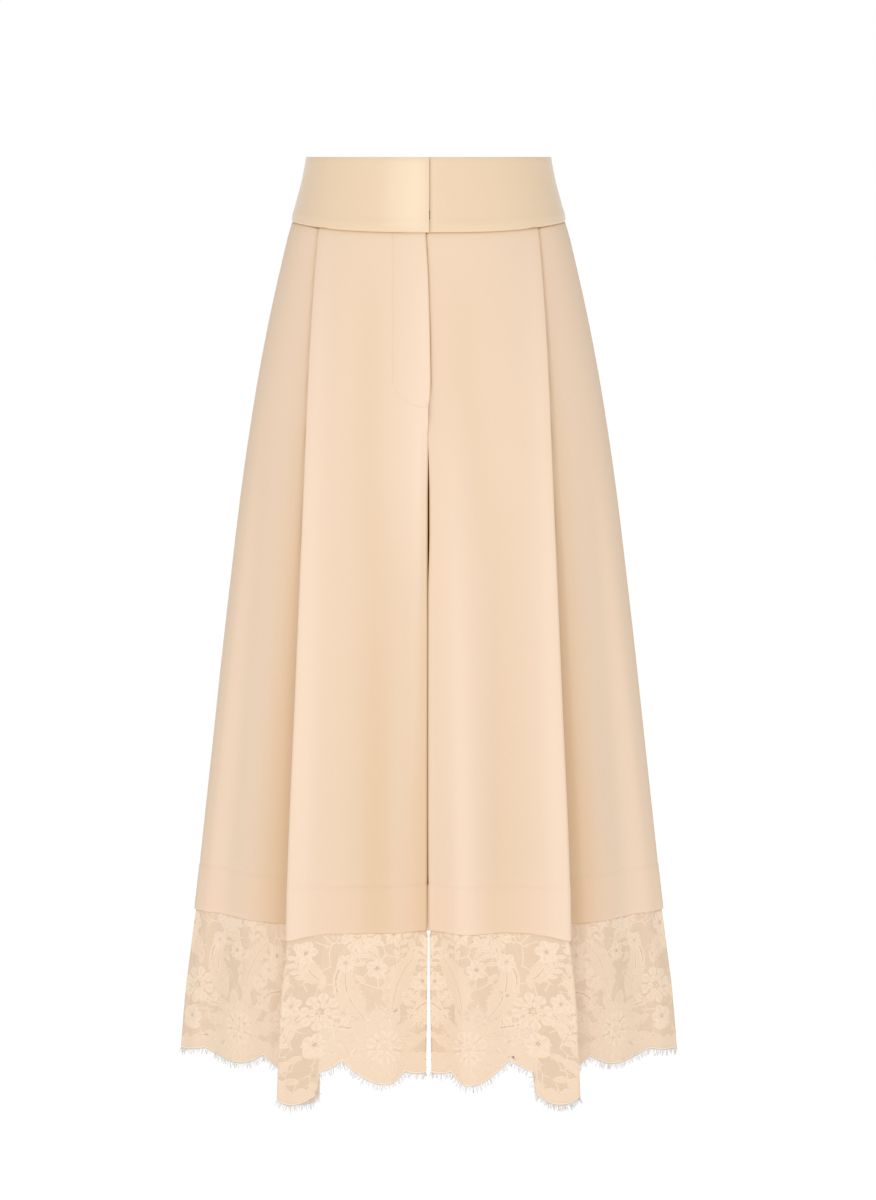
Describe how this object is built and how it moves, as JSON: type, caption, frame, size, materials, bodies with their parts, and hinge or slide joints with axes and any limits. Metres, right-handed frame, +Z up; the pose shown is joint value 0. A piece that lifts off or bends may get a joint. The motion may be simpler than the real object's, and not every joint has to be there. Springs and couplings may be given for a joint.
{
  "type": "culottes",
  "caption": "High-waisted wide-leg culottes, filled out as worn: satin waistband with a lapped front, a knife pleat in each leg, and a scalloped lace hem with an eyelash fringe.",
  "frame": {"origin": "the centre of the waistband's top edge, where a wearer's waist holds the garment", "axes": "+Z up, -Y towards the front, +X towards the wearer's left"},
  "size_m": [0.525, 0.2724, 0.9689],
  "materials": {
    "crepe": "matt warm beige suiting crepe with a fine dense weave",
    "satin": "softly shining satin face, slightly yellower than the crepe",
    "lace": "fine corded floral lace, tone on tone, on an even net",
    "fringe": "pale silky eyelash threads",
    "zip_tape": "plain woven tape",
    "hook_steel": "pressed steel, dulled"
  },
  "bodies": {
    "root": {"waistband_front_right": "satin", "waistband_front_left": "satin", "waistband_back": "satin", "front_right": "crepe", "front_left": "crepe", "back_right": "crepe", "back_left": "crepe", "fly_shield": "crepe", "fly_zip": "zip_tape", "waist_hook": "hook_steel", "waist_bar": "hook_steel", "lace_front_right": "lace", "lace_front_left": "lace", "lace_back_right": "lace", "lace_back_left": "lace", "lashes_front_right": "fringe", "lashes_front_left": "fringe", "lashes_back_right": "fringe", "lashes_back_left": "fringe"}
  },
  "joints": []
}
